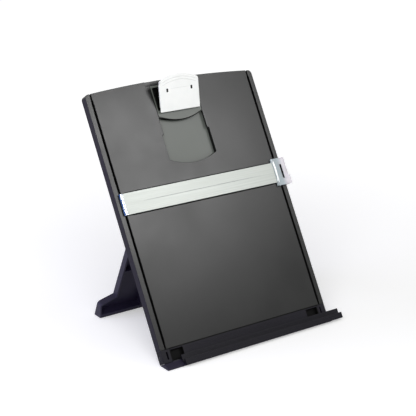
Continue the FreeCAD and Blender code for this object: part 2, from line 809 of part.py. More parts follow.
def make_clip_lever():
    """Sprung white clip: a flat lever with an arched top, low skirts and two ears on the pin."""
    made = body("clip_lever")
    half = d.clip_width / 2
    shape = [(-half, -d.clip_below_pin), (half, -d.clip_below_pin),
             (half, d.clip_above_pin, d.clip_top_rise), (-half, d.clip_above_pin)]
    sheet_sketch = outline(made, "sheet", "XY_Plane", shape, lever_back)
    pad(made, "sheet_pad", sheet_sketch, d.clip_sheet)
    round_corners(made, "top_round", d.clip_corner, half, d.clip_above_pin)
    skirt_low = -d.clip_below_pin + d.pad_height + d.clip_skirt_end_gap
    skirt_high = d.clip_above_pin - d.clip_corner - d.clip_skirt_end_gap
    hole_half = d.clip_hole_width / 2
    hole_low = d.clip_hole_rise - d.clip_hole_height / 2
    for side_name, side in SIDES:
        low, high = span(side, half - d.clip_skirt_thickness, half)
        block(made, "skirt_" + side_name, (low, skirt_low, lever_back - d.clip_skirt_depth),
              (high, skirt_high, lever_back + INTO))
        low, high = span(side, lever_ear_near, lever_ear_far)
        block(made, "ear_" + side_name, (low, -d.ear_radius, 0.0),
              (high, d.ear_radius, lever_back + INTO))
        rod(made, "ear_round_" + side_name, "x", d.ear_radius, (low, 0.0, 0.0),
            d.lever_ear_thickness)
        low, high = span(side, d.clip_hole_offset - hole_half, d.clip_hole_offset + hole_half)
        block(made, "hole_" + side_name, (low, hole_low, lever_back - PAST),
              (high, hole_low + d.clip_hole_height, lever_back + d.clip_sheet + PAST), cut=True)
    rod(made, "pin_hole", "x", d.pin_radius + d.pin_clearance, (-half, 0.0, 0.0), d.clip_width,
        cut=True)
    on_lever(made)


def lever_level(along, out):
    """Lever-frame z of a point that is at a distance along the lever and out of the board's face."""
    return (out - d.pin_height_off_board - along * sine(d.clip_tilt)) / cosine(d.clip_tilt)


def make_jaw_pad():
    """Rubber pad along the lever's lower edge, flat to the board, which grips the sheets."""
    made = body("clip_jaw_pad")
    low = -d.clip_below_pin + d.pad_setback
    high = low + d.pad_height
    section = [(low, lever_back), (low, lever_level(low, d.pad_paper_gap)),
               (high, lever_level(high, d.pad_paper_gap)), (high, lever_back)]
    drawn = outline(made, "section", "YZ_Plane", section, -d.pad_width / 2)
    pad(made, "pad", drawn, d.pad_width)
    on_lever(made)


def make_pivot_pin():
    """Steel pin through the slider's ears and the lever's ears."""
    made = body("clip_pivot_pin")
    reach = lever_ear_far + d.pin_overhang
    rod(made, "pin", "x", d.pin_radius, (-reach, d.pin_height_up_board, d.pin_height_off_board),
        2 * reach)
    on_board(made)


def biarc(start, start_way, end, end_way):
    """Two arcs that leave the start and reach the end along the given ways."""
    chord = end - start
    ways = start_way + end_way
    bend = 2 * (1 - start_way.dot(end_way))
    reach = (-chord.dot(ways) + math.sqrt(chord.dot(ways) ** 2 + bend * chord.dot(chord))) / bend
    first_corner = start + start_way * reach
    second_corner = end - end_way * reach
    meeting = (first_corner + second_corner) / 2
    arcs = []
    for low, corner, high in ((start, first_corner, meeting), (meeting, second_corner, end)):
        middle = (low + high) / 2
        height = (middle - corner).Length
        half_chord = (high - low).Length / 2
        past_middle = half_chord ** 2 / height
        radius = math.hypot(half_chord, past_middle)
        top = corner + (middle - corner) * ((height + past_middle - radius) / height)
        arcs.append(Part.Arc(low, top, high).toShape())
    return arcs


def make_torsion_spring():
    """Torsion spring round the pin: one leg on the slider's floor, one under the lever's top."""
    wire, coil, pitch = (number(d.spring_wire_radius), number(d.spring_coil_radius),
                         number(d.spring_pitch))
    floor_way = math.radians(number(d.spring_floor_angle))
    lever_way = math.radians(number(d.clip_tilt + d.spring_lever_lift))
    floor_depth = number(d.pin_height_off_board - slider_back - d.slider_pocket_floor)
    floor_leg = (floor_depth - wire - FACE_GAP - coil * math.cos(floor_way)) / math.sin(floor_way)
    # The coil winds back from the tangent of the floor leg to the tangent of the lever leg
    first = math.pi * 1.5 - floor_way
    last = math.pi / 2 + lever_way
    sweep = first - last + 2 * math.pi * number(d.spring_turns)
    climb = pitch / (2 * math.pi)
    quarters = math.ceil(sweep / (math.pi / 2))
    spots, ways = [], []
    for step in range(quarters + 1):
        turned = sweep * step / quarters
        angle = first - turned
        across = climb * (turned - sweep / 2)
        spots.append(Vector(across, coil * math.cos(angle), coil * math.sin(angle)))
        ways.append(Vector(climb, coil * math.sin(angle), -coil * math.cos(angle)).normalize())
    tip = spots[0] - ways[0] * floor_leg
    edges = [Part.LineSegment(tip, spots[0]).toShape()]
    for step in range(quarters):
        edges += biarc(spots[step], ways[step], spots[step + 1], ways[step + 1])
    far_tip = spots[-1] + ways[-1] * number(d.spring_leg)
    edges.append(Part.LineSegment(spots[-1], far_tip).toShape())
    section = Part.Circle(tip, ways[0], wire).toShape()
    tube = Part.Wire(edges).makePipeShell([Part.Wire([section])], True, False)
    made = doc.addObject("Part::Feature", "clip_torsion_spring")
    made.Label = "clip_torsion_spring"
    made.Shape = tube
    place(made, board_angle, 0.0, lever_y, lever_z)
    print("torsion spring: least gap between curls {:.2f} mm".format(pitch - 2 * wire))


# Line guide
guide_low = d.guide_middle_height - d.guide_height / 2
guide_high = d.guide_middle_height + d.guide_height / 2
guide_end = d.groove_offset - d.runner_blade / 2 - d.guide_end_gap
guide_front = d.paper_gap + d.guide_sheet


def make_guide_strip():
    """Flat brushed strip across the board, clear of the paper."""
    made = body("guide_strip")
    block(made, "sheet", (-guide_end, guide_low, d.paper_gap), (guide_end, guide_high, guide_front))
    on_board(made)


def make_left_runner():
    """Clear end piece over the left groove: a tongue under the strip and a blade in the groove."""
    made = body("guide_left_runner")
    outer = -(d.groove_offset + d.runner_width / 2)
    inner = -guide_end + d.guide_overlap
    front = guide_front + d.runner_proud
    block(made, "block", (outer, guide_low, FACE_GAP), (-guide_end, guide_high, front))
    block(made, "tongue", (-guide_end - INTO, guide_low + d.runner_tongue_setback, FACE_GAP),
          (inner, guide_high - d.runner_tongue_setback, d.paper_gap))
    block(made, "blade", (-(d.groove_offset + d.runner_blade / 2), guide_low, -d.runner_blade_depth),
          (-(d.groove_offset - d.runner_blade / 2), guide_high, FACE_GAP + INTO))
    on_board(made)


carriage_low = d.guide_middle_height - d.carriage_height / 2
carriage_high = d.guide_middle_height + d.carriage_height / 2
side_inner = half_width + d.carriage_side_gap
side_outer = side_inner + d.carriage_wall
hook_face = -d.board_depth - d.slide_clearance


def make_carriage():
    """Clear slide that wraps the board's right edge, with a groove blade, a slit and a finger tab."""
    made = body("guide_carriage")
    front = guide_front + d.guide_cover
    block(made, "front", (d.carriage_inner_edge, carriage_low, FACE_GAP),
          (side_outer, carriage_high, front))
    block(made, "strip_seat", (d.carriage_inner_edge - PAST, guide_low - FACE_GAP, FACE_GAP - PAST),
          (guide_end + FACE_GAP, guide_high + FACE_GAP, guide_front), cut=True)
    slit_half = d.carriage_slit_length / 2
    block(made, "slit", (d.carriage_slit_offset - d.carriage_slit_width / 2,
                         d.guide_middle_height - slit_half, FACE_GAP - PAST),
          (d.carriage_slit_offset + d.carriage_slit_width / 2,
           d.guide_middle_height + slit_half, front + PAST), cut=True)
    block(made, "blade", (d.groove_offset - d.runner_blade / 2, carriage_low, -d.runner_blade_depth),
          (d.groove_offset + d.runner_blade / 2, carriage_high, FACE_GAP + INTO))
    block(made, "side", (side_inner, carriage_low, hook_face - d.carriage_wall),
          (side_outer, carriage_high, FACE_GAP + PAST))
    block(made, "hook", (side_outer - d.carriage_hook, carriage_low, hook_face - d.carriage_wall),
          (side_outer, carriage_high, hook_face))
    block(made, "tab", (side_outer - PAST, carriage_low, FACE_GAP),
          (side_outer + d.finger_tab_reach, carriage_low + d.finger_tab_height, front))
    on_board(made)


def make_carriage_leaf():
    """Bowed steel leaf between the carriage's side wall and the board's edge: it holds the guide."""
    made = body("guide_tension_spring")
    half = d.carriage_height / 2 - d.leaf_end_gap
    middle = d.guide_middle_height
    seat = side_inner - d.leaf_touch_gap
    crest = half_width + d.leaf_touch_gap
    thick = d.leaf_thickness
    shape = [(seat - thick, middle - half), (seat, middle - half), (crest + thick, middle - half / 3),
             (crest + thick, middle + half / 3), (seat, middle + half), (seat - thick, middle + half),
             (crest, middle + half / 3), (crest, middle - half / 3)]
    level = -d.board_depth / 2 - d.leaf_width / 2
    drawn = outline(made, "section", "XY_Plane", shape, level)
    pad(made, "leaf", drawn, d.leaf_width)
    on_board(made)


# Hinge brackets and pins
hinge_level = -d.board_depth - d.hinge_stand_off
knuckle_half = d.knuckle_width / 2
ear_near = knuckle_half + d.hinge_side_gap
ear_far = ear_near + d.bracket_ear


def make_hinge_brackets():
    """One bracket on each side of the board's back, with two ears for the leg's pin."""
    for side_name, side in SIDES:
        made = body("leg_hinge_bracket_" + side_name)
        middle = side * d.hinge_offset
        plate_back = -d.board_depth - d.bracket_plate
        block(made, "plate", (middle - d.bracket_width / 2, d.hinge_height - d.bracket_height / 2,
                              plate_back),
              (middle + d.bracket_width / 2, d.hinge_height + d.bracket_height / 2, -d.board_depth))
        radius = d.knuckle_radius
        for end in (-1, 1):
            low, high = span(end, ear_near, ear_far)
            tag = "out" if end > 0 else "in"
            block(made, "ear_" + tag, (middle + low, d.hinge_height - radius, hinge_level),
                  (middle + high, d.hinge_height + radius, plate_back + INTO))
            rod(made, "ear_round_" + tag, "x", radius, (middle + low, d.hinge_height, hinge_level),
                d.bracket_ear)
        rod(made, "pin_hole", "x", d.hinge_pin_radius + d.pin_clearance / 2,
            (middle - ear_far - PAST, d.hinge_height, hinge_level), 2 * ear_far + 2 * PAST, cut=True)
        for end in (-1, 1):
            rod(made, "screw_hole_{}".format(end + 1), "z", d.screw_radius + 2 * d.screw_clearance,
                (middle + end * d.bracket_screw_offset, d.hinge_height, plate_back - PAST),
                d.bracket_plate + 2 * PAST, cut=True)
        on_board(made)
        pin = body("leg_hinge_pin_" + side_name)
        reach = ear_far + d.pin_overhang
        rod(pin, "pin", "x", d.hinge_pin_radius, (middle - reach, d.hinge_height, hinge_level),
            2 * reach)
        on_board(pin)
    seat = -d.board_depth - d.bracket_plate
    on_board(screws("bracket_screws", hinge_screws, seat, d.bracket_plate + d.screw_bite))


# Rear leg, in its own frame: the hinge axis is x, y runs up the leg, z is its open face
leg_angle = 90 + d.leg_splay
open_angle = d.lean + d.leg_splay
leg_y, leg_z = board_point(d.hinge_height, hinge_level)
leg_front = d.hinge_stand_off - d.leg_face_gap
leg_back = leg_front - d.leg_foot_depth
leg_rim = leg_back + d.leg_tray_depth
leg_drop = leg_z - d.rubber_proud


def on_leg(made):
    place(made, leg_angle, 0.0, leg_y, leg_z)


def leg_height(over_sole, out):
    """Leg-frame y of a point at a height over the foot's sole and out at z."""
    return (over_sole - leg_drop + out * sine(d.leg_splay)) / cosine(d.leg_splay)


def leg_outline(inset, foot):
    """Outline of the leg, drawn in by an inset: flared feet with an arch between them."""
    top = -d.leg_top_gap - inset
    arch_top = leg_height(d.leg_arch_height, 0.0) + inset
    outer = d.leg_foot_half_width - inset
    right = [(d.leg_top_half_width - inset, top), (d.leg_knee_half_width - inset, leg_knee),
             (outer, leg_shoulder - inset), (outer, foot), (d.leg_arch_half_foot + inset, foot),
             (d.leg_arch_half_top + inset, arch_top)]
    return right + [(-x, y) for x, y in reversed(right)]


def make_rear_leg():
    """Moulded tray, open to the front, with a shelf, two uprights, knuckles, stop heels and feet."""
    made = body("rear_leg")
    below = leg_height(-UNDER_SOLE, 0.0)
    shape = outline(made, "edge", "XY_Plane", leg_outline(0.0, below), leg_back)
    pad(made, "tray", shape, d.leg_foot_depth)
    round_corners(made, "foot_round", d.leg_foot_corner, d.leg_foot_half_width, leg_shoulder)
    sole_front = leg_height(d.leg_wall + d.rubber_thickness, leg_front)
    inner = outline(made, "inside", "XY_Plane", leg_outline(d.leg_wall, sole_front),
                    leg_back + d.leg_panel)
    pocket(made, "inside_cut", inner, d.leg_foot_depth)
    floor = leg_back + d.leg_panel / 2
    top = -d.leg_top_gap
    shelf = leg_height(d.leg_shelf_height, leg_rim)
    widening = (d.leg_knee_half_width - d.leg_top_half_width) * (top - shelf) / (top - leg_knee)
    side = d.leg_top_half_width + widening - d.leg_wall / 2
    block(made, "shelf", (-side, shelf - d.rib_thickness, floor), (side, shelf, leg_front))
    for side_name, way in SIDES:
        low, high = span(way, d.leg_upright_offset - d.rib_thickness / 2,
                         d.leg_upright_offset + d.rib_thickness / 2)
        block(made, "upright_" + side_name, (low, sole_front - INTO, floor),
              (high, top - d.leg_wall / 2, leg_front))
    rim = [(leg_height(0.0, leg_front), leg_front),
           (leg_height(d.leg_tray_bend_height, leg_rim), leg_rim), (PAST, leg_rim),
           (PAST, leg_front + PAST), (leg_height(0.0, leg_front), leg_front + PAST)]
    rim_sketch = outline(made, "rim", "YZ_Plane", rim, -d.board_width / 2)
    pocket(made, "rim_cut", rim_sketch, d.board_width)
    for side_name, way in SIDES:
        middle = way * d.hinge_offset
        low, high = middle - knuckle_half, middle + knuckle_half
        block(made, "knuckle_arm_" + side_name, (low, -d.leg_top_gap - d.leg_wall, -d.knuckle_radius),
              (high, 0.0, d.knuckle_radius))
        rod(made, "knuckle_" + side_name, "x", d.knuckle_radius, (low, 0.0, 0.0), d.knuckle_width)
        block(made, "heel_" + side_name, (low, 0.0, -d.heel_half), (high, heel_length, d.heel_half))
        rod(made, "bore_" + side_name, "x", d.hinge_pin_radius + d.pin_clearance,
            (low - PAST, 0.0, 0.0), d.knuckle_width + 2 * PAST, cut=True)
    front, back = leg_front + PAST, leg_back - PAST
    far_below = -3 * UNDER_SOLE
    floor_cut = [(leg_height(0.0, front), front), (leg_height(0.0, back), back),
                 (leg_height(far_below, back), back), (leg_height(far_below, front), front)]
    floor_sketch = outline(made, "floor", "YZ_Plane", floor_cut, -d.board_width / 2)
    pocket(made, "floor_cut", floor_sketch, d.board_width)
    for side_name, way in SIDES:
        low, _ = span(way, d.foot_pad_offset - d.foot_pad_length / 2,
                      d.foot_pad_offset + d.foot_pad_length / 2)
        seat = outline(made, "pad_seat_" + side_name, "YZ_Plane", pad_section(0.0, -PAST), low)
        pocket(made, "pad_seat_cut_" + side_name, seat, d.foot_pad_length)
    on_leg(made)


heel_length = ((d.hinge_stand_off - d.bracket_plate - d.stop_clearance
                - d.heel_half * cosine(open_angle)) / sine(open_angle))
pad_seat = d.rubber_thickness - d.rubber_proud
foot_middle = (leg_front + leg_back) / 2
leg_knee = leg_height(d.leg_knee_height, 0.0)
leg_shoulder = leg_height(d.leg_foot_height, 0.0)


def pad_section(inset, low):
    """Leg-frame outline of a foot pad, flat to the table."""
    half = d.foot_pad_width / 2 - inset
    corners = []
    for way, height in ((-1, low), (1, low), (1, pad_seat), (-1, pad_seat)):
        out = foot_middle + way * half
        corners.append((leg_height(height, out), out))
    return corners


def make_foot_pads():
    """Rubber pads let into the soles of the two feet."""
    for side_name, way in SIDES:
        made = body("leg_foot_pad_" + side_name)
        play = d.rubber_clearance
        low, _ = span(way, d.foot_pad_offset - d.foot_pad_length / 2 + play,
                      d.foot_pad_offset + d.foot_pad_length / 2 - play)
        drawn = outline(made, "section", "YZ_Plane", pad_section(play, -d.rubber_proud), low)
        pad(made, "pad", drawn, d.foot_pad_length - 2 * play)
        on_leg(made)


make_board()
make_track_back_plate()
make_base_rail()
make_end_caps()
make_end_cap_screws()
make_front_strip()
make_paper_ledge()
make_clip_slider()
make_slider_leaf()
make_clip_lever()
make_jaw_pad()
make_pivot_pin()
make_torsion_spring()
make_guide_strip()
make_left_runner()
make_carriage()
make_carriage_leaf()
make_hinge_brackets()
make_rear_leg()
make_foot_pads()
doc.recompute()

# Checks and export
for thing in doc.Objects:
    if "Invalid" in thing.State or "Error" in thing.State:
        raise RuntimeError("{} failed: {}".format(thing.Name, thing.State))

sub_parts = [thing for thing in doc.Objects
             if thing.TypeId == "PartDesign::Body" or thing.Name == "clip_torsion_spring"]
for thing in sub_parts:
    if thing.Shape.isNull() or not thing.Shape.isValid() or not thing.Shape.Solids:
        raise RuntimeError("{} has no sound shape".format(thing.Label))

os.makedirs("parts", exist_ok=True)
for thing in sub_parts:
    thing.Shape.exportStep("parts/{}.step".format(thing.Label))
    print("{:28s} solids {:2d}  volume {:9.1f} mm3".format(
        thing.Label, len(thing.Shape.Solids), thing.Shape.Volume))
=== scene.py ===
import bmesh
import bpy
import math
import numpy as np
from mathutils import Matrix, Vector


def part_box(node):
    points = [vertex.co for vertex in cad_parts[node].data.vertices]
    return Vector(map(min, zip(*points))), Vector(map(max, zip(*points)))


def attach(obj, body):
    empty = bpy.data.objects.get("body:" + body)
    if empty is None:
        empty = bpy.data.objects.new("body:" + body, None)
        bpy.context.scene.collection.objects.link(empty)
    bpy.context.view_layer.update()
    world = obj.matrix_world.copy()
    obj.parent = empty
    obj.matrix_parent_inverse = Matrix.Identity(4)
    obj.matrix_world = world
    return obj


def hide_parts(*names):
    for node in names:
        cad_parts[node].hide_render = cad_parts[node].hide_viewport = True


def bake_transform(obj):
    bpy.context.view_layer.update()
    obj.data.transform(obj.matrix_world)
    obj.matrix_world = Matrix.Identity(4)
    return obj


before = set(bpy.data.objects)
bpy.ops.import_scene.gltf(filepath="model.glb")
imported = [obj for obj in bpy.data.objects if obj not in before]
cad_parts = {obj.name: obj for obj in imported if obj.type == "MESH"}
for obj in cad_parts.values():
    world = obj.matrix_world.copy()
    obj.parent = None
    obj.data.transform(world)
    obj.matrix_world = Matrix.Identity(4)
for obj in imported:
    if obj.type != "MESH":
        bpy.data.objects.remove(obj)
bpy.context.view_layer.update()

# Board
# One satin black ABS moulding with an arched top. Two grooves with a fine lip on each side guide
# the line strip and a sunk track guides the clip. The grooves and their lips are drawn near-black
# as painted shade. Its walls and ribs show only from behind.
MM = 0.001


def leaning_plane(angle, foot):
    """A plane turned up about X by an angle in degrees: its foot point, its way along and its way
    off the face. Foot in millimetres."""
    turn = math.radians(angle)
    along = np.array([0.0, math.cos(turn), math.sin(turn)])
    off = np.array([0.0, -math.sin(turn), math.cos(turn)])
    return np.array(foot), along, off


BOARD_PLANE = leaning_plane(60.0, (0.0, 0.34, 5.6))


def place_on(plane, x, along, off):
    """World place in metres of points in a plane's own millimetres: foot, plus x across, plus
    each distance times its way."""
    foot, along_way, off_way = plane
    x, along, off = np.broadcast_arrays(x, along, off)
    across = np.array([1.0, 0.0, 0.0])
    reach = x[..., None] * across + along[..., None] * along_way + off[..., None] * off_way
    return MM * (foot + reach)


def places_in(plane, points):
    """The reverse of place_on: x, along and off in millimetres of world points in metres."""
    foot, along_way, off_way = plane
    reach = points / MM - foot
    return reach[:, 0], reach @ along_way, reach @ off_way


def joined_copy(node, name, material):
    """A solid of the frame as a piece of its own, its loose triangles joined to one smooth skin."""
    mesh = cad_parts[node].data.copy()
    mesh.name = name
    shape = bmesh.new()
    shape.from_mesh(mesh)
    bmesh.ops.remove_doubles(shape, verts=shape.verts, dist=0.001 * MM)
    for face in shape.faces:
        face.smooth = True
    shape.to_mesh(mesh)
    shape.free()
    mesh.materials.clear()
    mesh.materials.append(material)
    piece = bpy.data.objects.new(name, mesh)
    bpy.context.scene.collection.objects.link(piece)
    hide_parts(node)
    return piece


def moulding(node, body, material, edge, steps=3):
    """A solid of the frame as one clean moulding: every sharp edge is rounded to the edge radius,
    in millimetres, by a number of steps, and its flat faces stay flat."""
    piece = joined_copy(node, node + "_moulding", material)
    rounding = piece.modifiers.new("rounded_edges", "BEVEL")
    rounding.width = edge * MM
    rounding.segments = steps
    rounding.limit_method = "ANGLE"
    rounding.angle_limit = math.radians(32)
    rounding.use_clamp_overlap = False
    shading = piece.modifiers.new("flat_faces_stay_flat", "WEIGHTED_NORMAL")
    shading.weight = 100
    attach(piece, body)
    return piece


def second_finish(piece, plane, material, chosen):
    """Gives another material to the faces whose middles are chosen by x, distance along a plane
    and distance off it, in millimetres."""
    mesh = piece.data
    mesh.materials.append(material)
    middles = np.empty(3 * len(mesh.polygons))
    mesh.polygons.foreach_get("center", middles)
    finishes = np.empty(len(mesh.polygons), dtype=np.int32)
    mesh.polygons.foreach_get("material_index", finishes)
    finishes[chosen(*places_in(plane, middles.reshape(-1, 3)))] = len(mesh.materials) - 1
    mesh.polygons.foreach_set("material_index", finishes)


def surface(name, points, material, body):
    """A closed skin through a grid of points, shaped (copies, rows, columns, 3): the columns run
    round, and a first and last row of one place close the ends."""
    copies, rows, columns = points.shape[:3]
    copy, row, column = np.meshgrid(np.arange(copies), np.arange(rows - 1), np.arange(columns),
                                    indexing="ij")
    start = copy * rows * columns + row * columns
    after = (column + 1) % columns
    corners = np.stack([start + column, start + after, start + columns + after,
                        start + columns + column], axis=-1)
    mesh = bpy.data.meshes.new(name)
    mesh.from_pydata(points.reshape(-1, 3).tolist(), [], corners.reshape(-1, 4).tolist())
    skin = bmesh.new()
    skin.from_mesh(mesh)
    bmesh.ops.remove_doubles(skin, verts=skin.verts, dist=0.0005 * MM)
    bmesh.ops.recalc_face_normals(skin, faces=skin.faces)
    for face in skin.faces:
        face.smooth = True
    skin.to_mesh(mesh)
    skin.free()
    mesh.materials.append(material)
    piece = bpy.data.objects.new(name, mesh)
    bpy.context.scene.collection.objects.link(piece)
    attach(piece, body)
    return piece


def bead(name, plane, x, along, off, width, height, material, body):
    """Fine raised lines on a face. Each path is x and along at its steps, shaped (lines, steps).
    The section is an ellipse, width/2 cos a to the side and height sin a off the face, and it
    narrows to a point at both ends."""
    x, along = np.atleast_2d(x), np.atleast_2d(along)
    steps = x.shape[1]
    run_x, run_along = np.gradient(x, axis=1), np.gradient(along, axis=1)
    length = np.hypot(run_x, run_along)
    step = np.arange(steps)
    narrowing = np.sqrt(np.minimum(np.minimum(step, steps - 1 - step) / 2.0, 1.0))
    turn = np.linspace(0.0, 2.0 * math.pi, 10, endpoint=False)
    swing = 0.5 * width * narrowing[None, :, None] * np.cos(turn)
    lift = height * narrowing[None, :, None] * np.sin(turn)
    side_x = x[:, :, None] - (run_along / length)[:, :, None] * swing
    side_along = along[:, :, None] + (run_x / length)[:, :, None] * swing
    return surface(name, place_on(plane, side_x, side_along, off + lift), material, body)


def finish(name, colour, roughness):
    """A new material: its shader with a plain colour and roughness, ready for its texture."""
    material = bpy.data.materials.new(name)
    material.use_nodes = True
    shader = material.node_tree.nodes["Principled BSDF"]
    shader.inputs["Base Color"].default_value = (*colour, 1.0)
    shader.inputs["Roughness"].default_value = roughness
    return material, material.node_tree.nodes, material.node_tree.links, shader


def spread(nodes, links, source, low, high, low_out, high_out):
    """A texture value stretched from one range to another."""
    stretch = nodes.new("ShaderNodeMapRange")
    stretch.inputs["From Min"].default_value = low
    stretch.inputs["From Max"].default_value = high
    stretch.inputs["To Min"].default_value = low_out
    stretch.inputs["To Max"].default_value = high_out
    links.new(source, stretch.inputs["Value"])
    return stretch.outputs["Result"]


def two_tone(nodes, links, source, low, high, dark, light):
    """A colour that runs from dark to light as a texture value climbs."""
    ramp = nodes.new("ShaderNodeValToRGB")
    ramp.color_ramp.elements[0].position = low
    ramp.color_ramp.elements[0].color = (*dark, 1.0)
    ramp.color_ramp.elements[1].position = high
    ramp.color_ramp.elements[1].color = (*light, 1.0)
    links.new(source, ramp.inputs["Fac"])
    return ramp.outputs["Color"]


def grain(nodes, links, scale, detail, stretch=(1.0, 1.0, 1.0)):
    """Noise in the piece's own metres, scale cells to the metre, each axis times its stretch."""
    place = nodes.new("ShaderNodeTexCoord")
    mapping = nodes.new("ShaderNodeMapping")
    mapping.inputs["Scale"].default_value = stretch
    noise = nodes.new("ShaderNodeTexNoise")
    noise.inputs["Scale"].default_value = scale
    noise.inputs["Detail"].default_value = detail
    links.new(place.outputs["Object"], mapping.inputs["Vector"])
    links.new(mapping.outputs["Vector"], noise.inputs["Vector"])
    return noise.outputs["Fac"]


def relief(nodes, links, shader, height, depth):
    """Surface relief of a depth in metres from a texture value."""
    bump = nodes.new("ShaderNodeBump")
    bump.inputs["Strength"].default_value = 1.0
    bump.inputs["Distance"].default_value = depth
    links.new(height, bump.inputs["Height"])
    links.new(bump.outputs["Normal"], shader.inputs["Normal"])


def black_moulding(name, dark, light, roughness, specular, spark_depth):
    """Black ABS from a spark-eroded mould: fine even grain of a depth in millimetres, and a slow
    drift of tone and gloss from handling."""
    material, nodes, links, shader = finish(name, dark, roughness)
    shader.inputs["Specular IOR Level"].default_value = specular
    drift = grain(nodes, links, 14.0, 5.0)
    links.new(two_tone(nodes, links, drift, 0.3, 0.75, dark, light), shader.inputs["Base Color"])
    links.new(spread(nodes, links, drift, 0.3, 0.7, roughness - 0.03, roughness + 0.05),
              shader.inputs["Roughness"])
    spark = grain(nodes, links, 2600.0, 2.0)
    relief(nodes, links, shader, spark, spark_depth * MM)
    return material


board_black = black_moulding("board_satin_black", (0.003, 0.0032, 0.003), (0.006, 0.0063, 0.0058),
                             roughness=0.36, specular=0.17, spark_depth=0.01)
# Near-black used as painted shade in grooves, pockets, gaps, slits and holes, and for the base's
# dark seams.
shade_and_seam_black = black_moulding("painted_shade_and_seam_black", (0.002, 0.002, 0.002), (0.004, 0.004, 0.004),
                             roughness=0.6, specular=0.04, spark_depth=0.01)
# A purple-tinted black for the board's side faces, as painted cool light on them.
painted_side_light_black = black_moulding("painted_cool_side_light_black", (0.005, 0.004, 0.010), (0.008, 0.006, 0.015),
                            roughness=0.45, specular=0.10, spark_depth=0.012)
board = moulding("board", "frame", board_black, edge=0.35)
GROOVE_OFFSET, GROOVE_WIDTH, GROOVE_FLOOR = 112.0, 1.8, -4.7
GROOVE_LOW, GROOVE_HIGH, LIP_GAP = 16.5, 317.0, 1.0
BELOW_FACE, SIDE_FACE = -0.1, 119.2
# Painted shade: the grooves' walls and floors are drawn near-black.
second_finish(board, BOARD_PLANE, shade_and_seam_black,
              lambda x, up, off: (abs(abs(x) - GROOVE_OFFSET) < 0.6 * GROOVE_WIDTH)
              & (off < BELOW_FACE) & (off > GROOVE_FLOOR))
# Painted light: the board's side faces take the purple-tinted black.
second_finish(board, BOARD_PLANE, painted_side_light_black, lambda x, up, off: abs(x) > SIDE_FACE)
# The lips beside each groove are drawn near-black, painted shade along the groove edges.
lip_up = np.linspace(GROOVE_LOW, GROOVE_HIGH, 60)[None, :]
lip_x = np.array([offset + 0.5 * side * (GROOVE_WIDTH + LIP_GAP)
                  for offset in (-GROOVE_OFFSET, GROOVE_OFFSET) for side in (-1, 1)])[:, None]
bead("board_groove_lip_shade", BOARD_PLANE, lip_x + 0.0 * lip_up, lip_up + 0.0 * lip_x, off=-0.08,
     width=0.9, height=0.12, material=shade_and_seam_black, body="frame")

# Track back plate
# Flat cover behind the clip's track, screwed to four bosses of the board. Its smooth grey-black
# face is the floor of the track.
plate_grey = black_moulding("plate_grey_black", (0.088, 0.097, 0.087), (0.110, 0.120, 0.108),
                            roughness=0.5, specular=0.25, spark_depth=0.008)
moulding("track_back_plate", "frame", plate_grey, edge=0.3)

# Screws
# Black zinc-plated pan-head screws with a cross recess: four behind the track, four in the base
# tabs, two in the end caps and four in the hinge brackets.
screw_metal, nodes, links, shader = finish("blackened_screw", (0.035, 0.035, 0.038), 0.32)
shader.inputs["Metallic"].default_value = 1.0
plating = grain(nodes, links, 900.0, 4.0)
links.new(spread(nodes, links, plating, 0.3, 0.7, 0.24, 0.42), shader.inputs["Roughness"])


def cross_screws(node, seats, into, bite):
    """Pan-head screws as one turned surface each, driven the way of into, with seats in metres
    and the rest in millimetres. From the head's middle outwards the height is head - crown
    (r/R)^4, less the recess where the point lies in one of the cross's two arms, then it runs
    down the head's side, under the head and along the shank to its tip, bite below the seat."""
    head_radius, head, crown, shank = 2.3, 1.4, 0.75, 1.2
    arm_length, arm_width, recess = 1.4, 0.36, 0.8
    top_radii = np.linspace(0.0, head_radius, 20)
    radii = np.concatenate([top_radii, [head_radius, shank, shank, 0.0]])
    heights = np.concatenate([head - crown * (top_radii / head_radius) ** 4,
                              [0.0, 0.0, -bite, -bite]])
    turn = np.linspace(0.0, 2.0 * math.pi, 48, endpoint=False)
    across = radii[:, None] * np.cos(turn)
    beside = radii[:, None] * np.sin(turn)
    first_arm = (abs(across) < arm_length) & (abs(beside) < arm_width)
    second_arm = (abs(beside) < arm_length) & (abs(across) < arm_width)
    on_top = heights[:, None] > 0.0
    lift = heights[:, None] - recess * ((first_arm | second_arm) & on_top)
    seats, into = np.array(seats), np.array(into)
    helper = np.array([0.0, 0.6, 0.8]) if abs(into[0, 0]) > 0.5 else np.array([1.0, 0.0, 0.0])
    first_way = np.cross(into, helper)
    first_way /= np.linalg.norm(first_way, axis=1)[:, None]
    second_way = np.cross(into, first_way)
    points = (seats[:, None, None, :] + MM * (across[None, :, :, None] * first_way[:, None, None, :]
              + beside[None, :, :, None] * second_way[:, None, None, :]
              - lift[None, :, :, None] * into[:, None, None, :]))
    piece = surface(node + "_turned", points, screw_metal, "frame")
    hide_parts(node)


def back_screws(node, offsets, heights, off, bite):
    """Screws driven into the board's back at each place, with their heads seated at off."""
    seats = [place_on(BOARD_PLANE, side * x, up, off) for side in (-1, 1)
             for x, up in zip(offsets, heights)]
    cross_screws(node, seats, [BOARD_PLANE[2]] * len(seats), bite)


back_screws("track_plate_screws", offsets=(39.1, 39.1), heights=(217.8, 309.5), off=-7.0, bite=5.1)
back_screws("base_screws", offsets=(54.5, 69.5), heights=(26.2, 26.2), off=-5.4, bite=4.1)
back_screws("bracket_screws", offsets=(56.2, 83.8), heights=(184.0, 184.0), off=-12.0, bite=5.4)
CAP_SCREW_SEAT, CAP_SCREW_UP, CAP_SCREW_OFF = 117.9, 7.7, -7.2
cap_screw_seats = [place_on(BOARD_PLANE, side * CAP_SCREW_SEAT, CAP_SCREW_UP, CAP_SCREW_OFF)
                   for side in (-1, 1)]
cross_screws("end_cap_screws", cap_screw_seats, [(1.0, 0.0, 0.0), (-1.0, 0.0, 0.0)], bite=14.1)

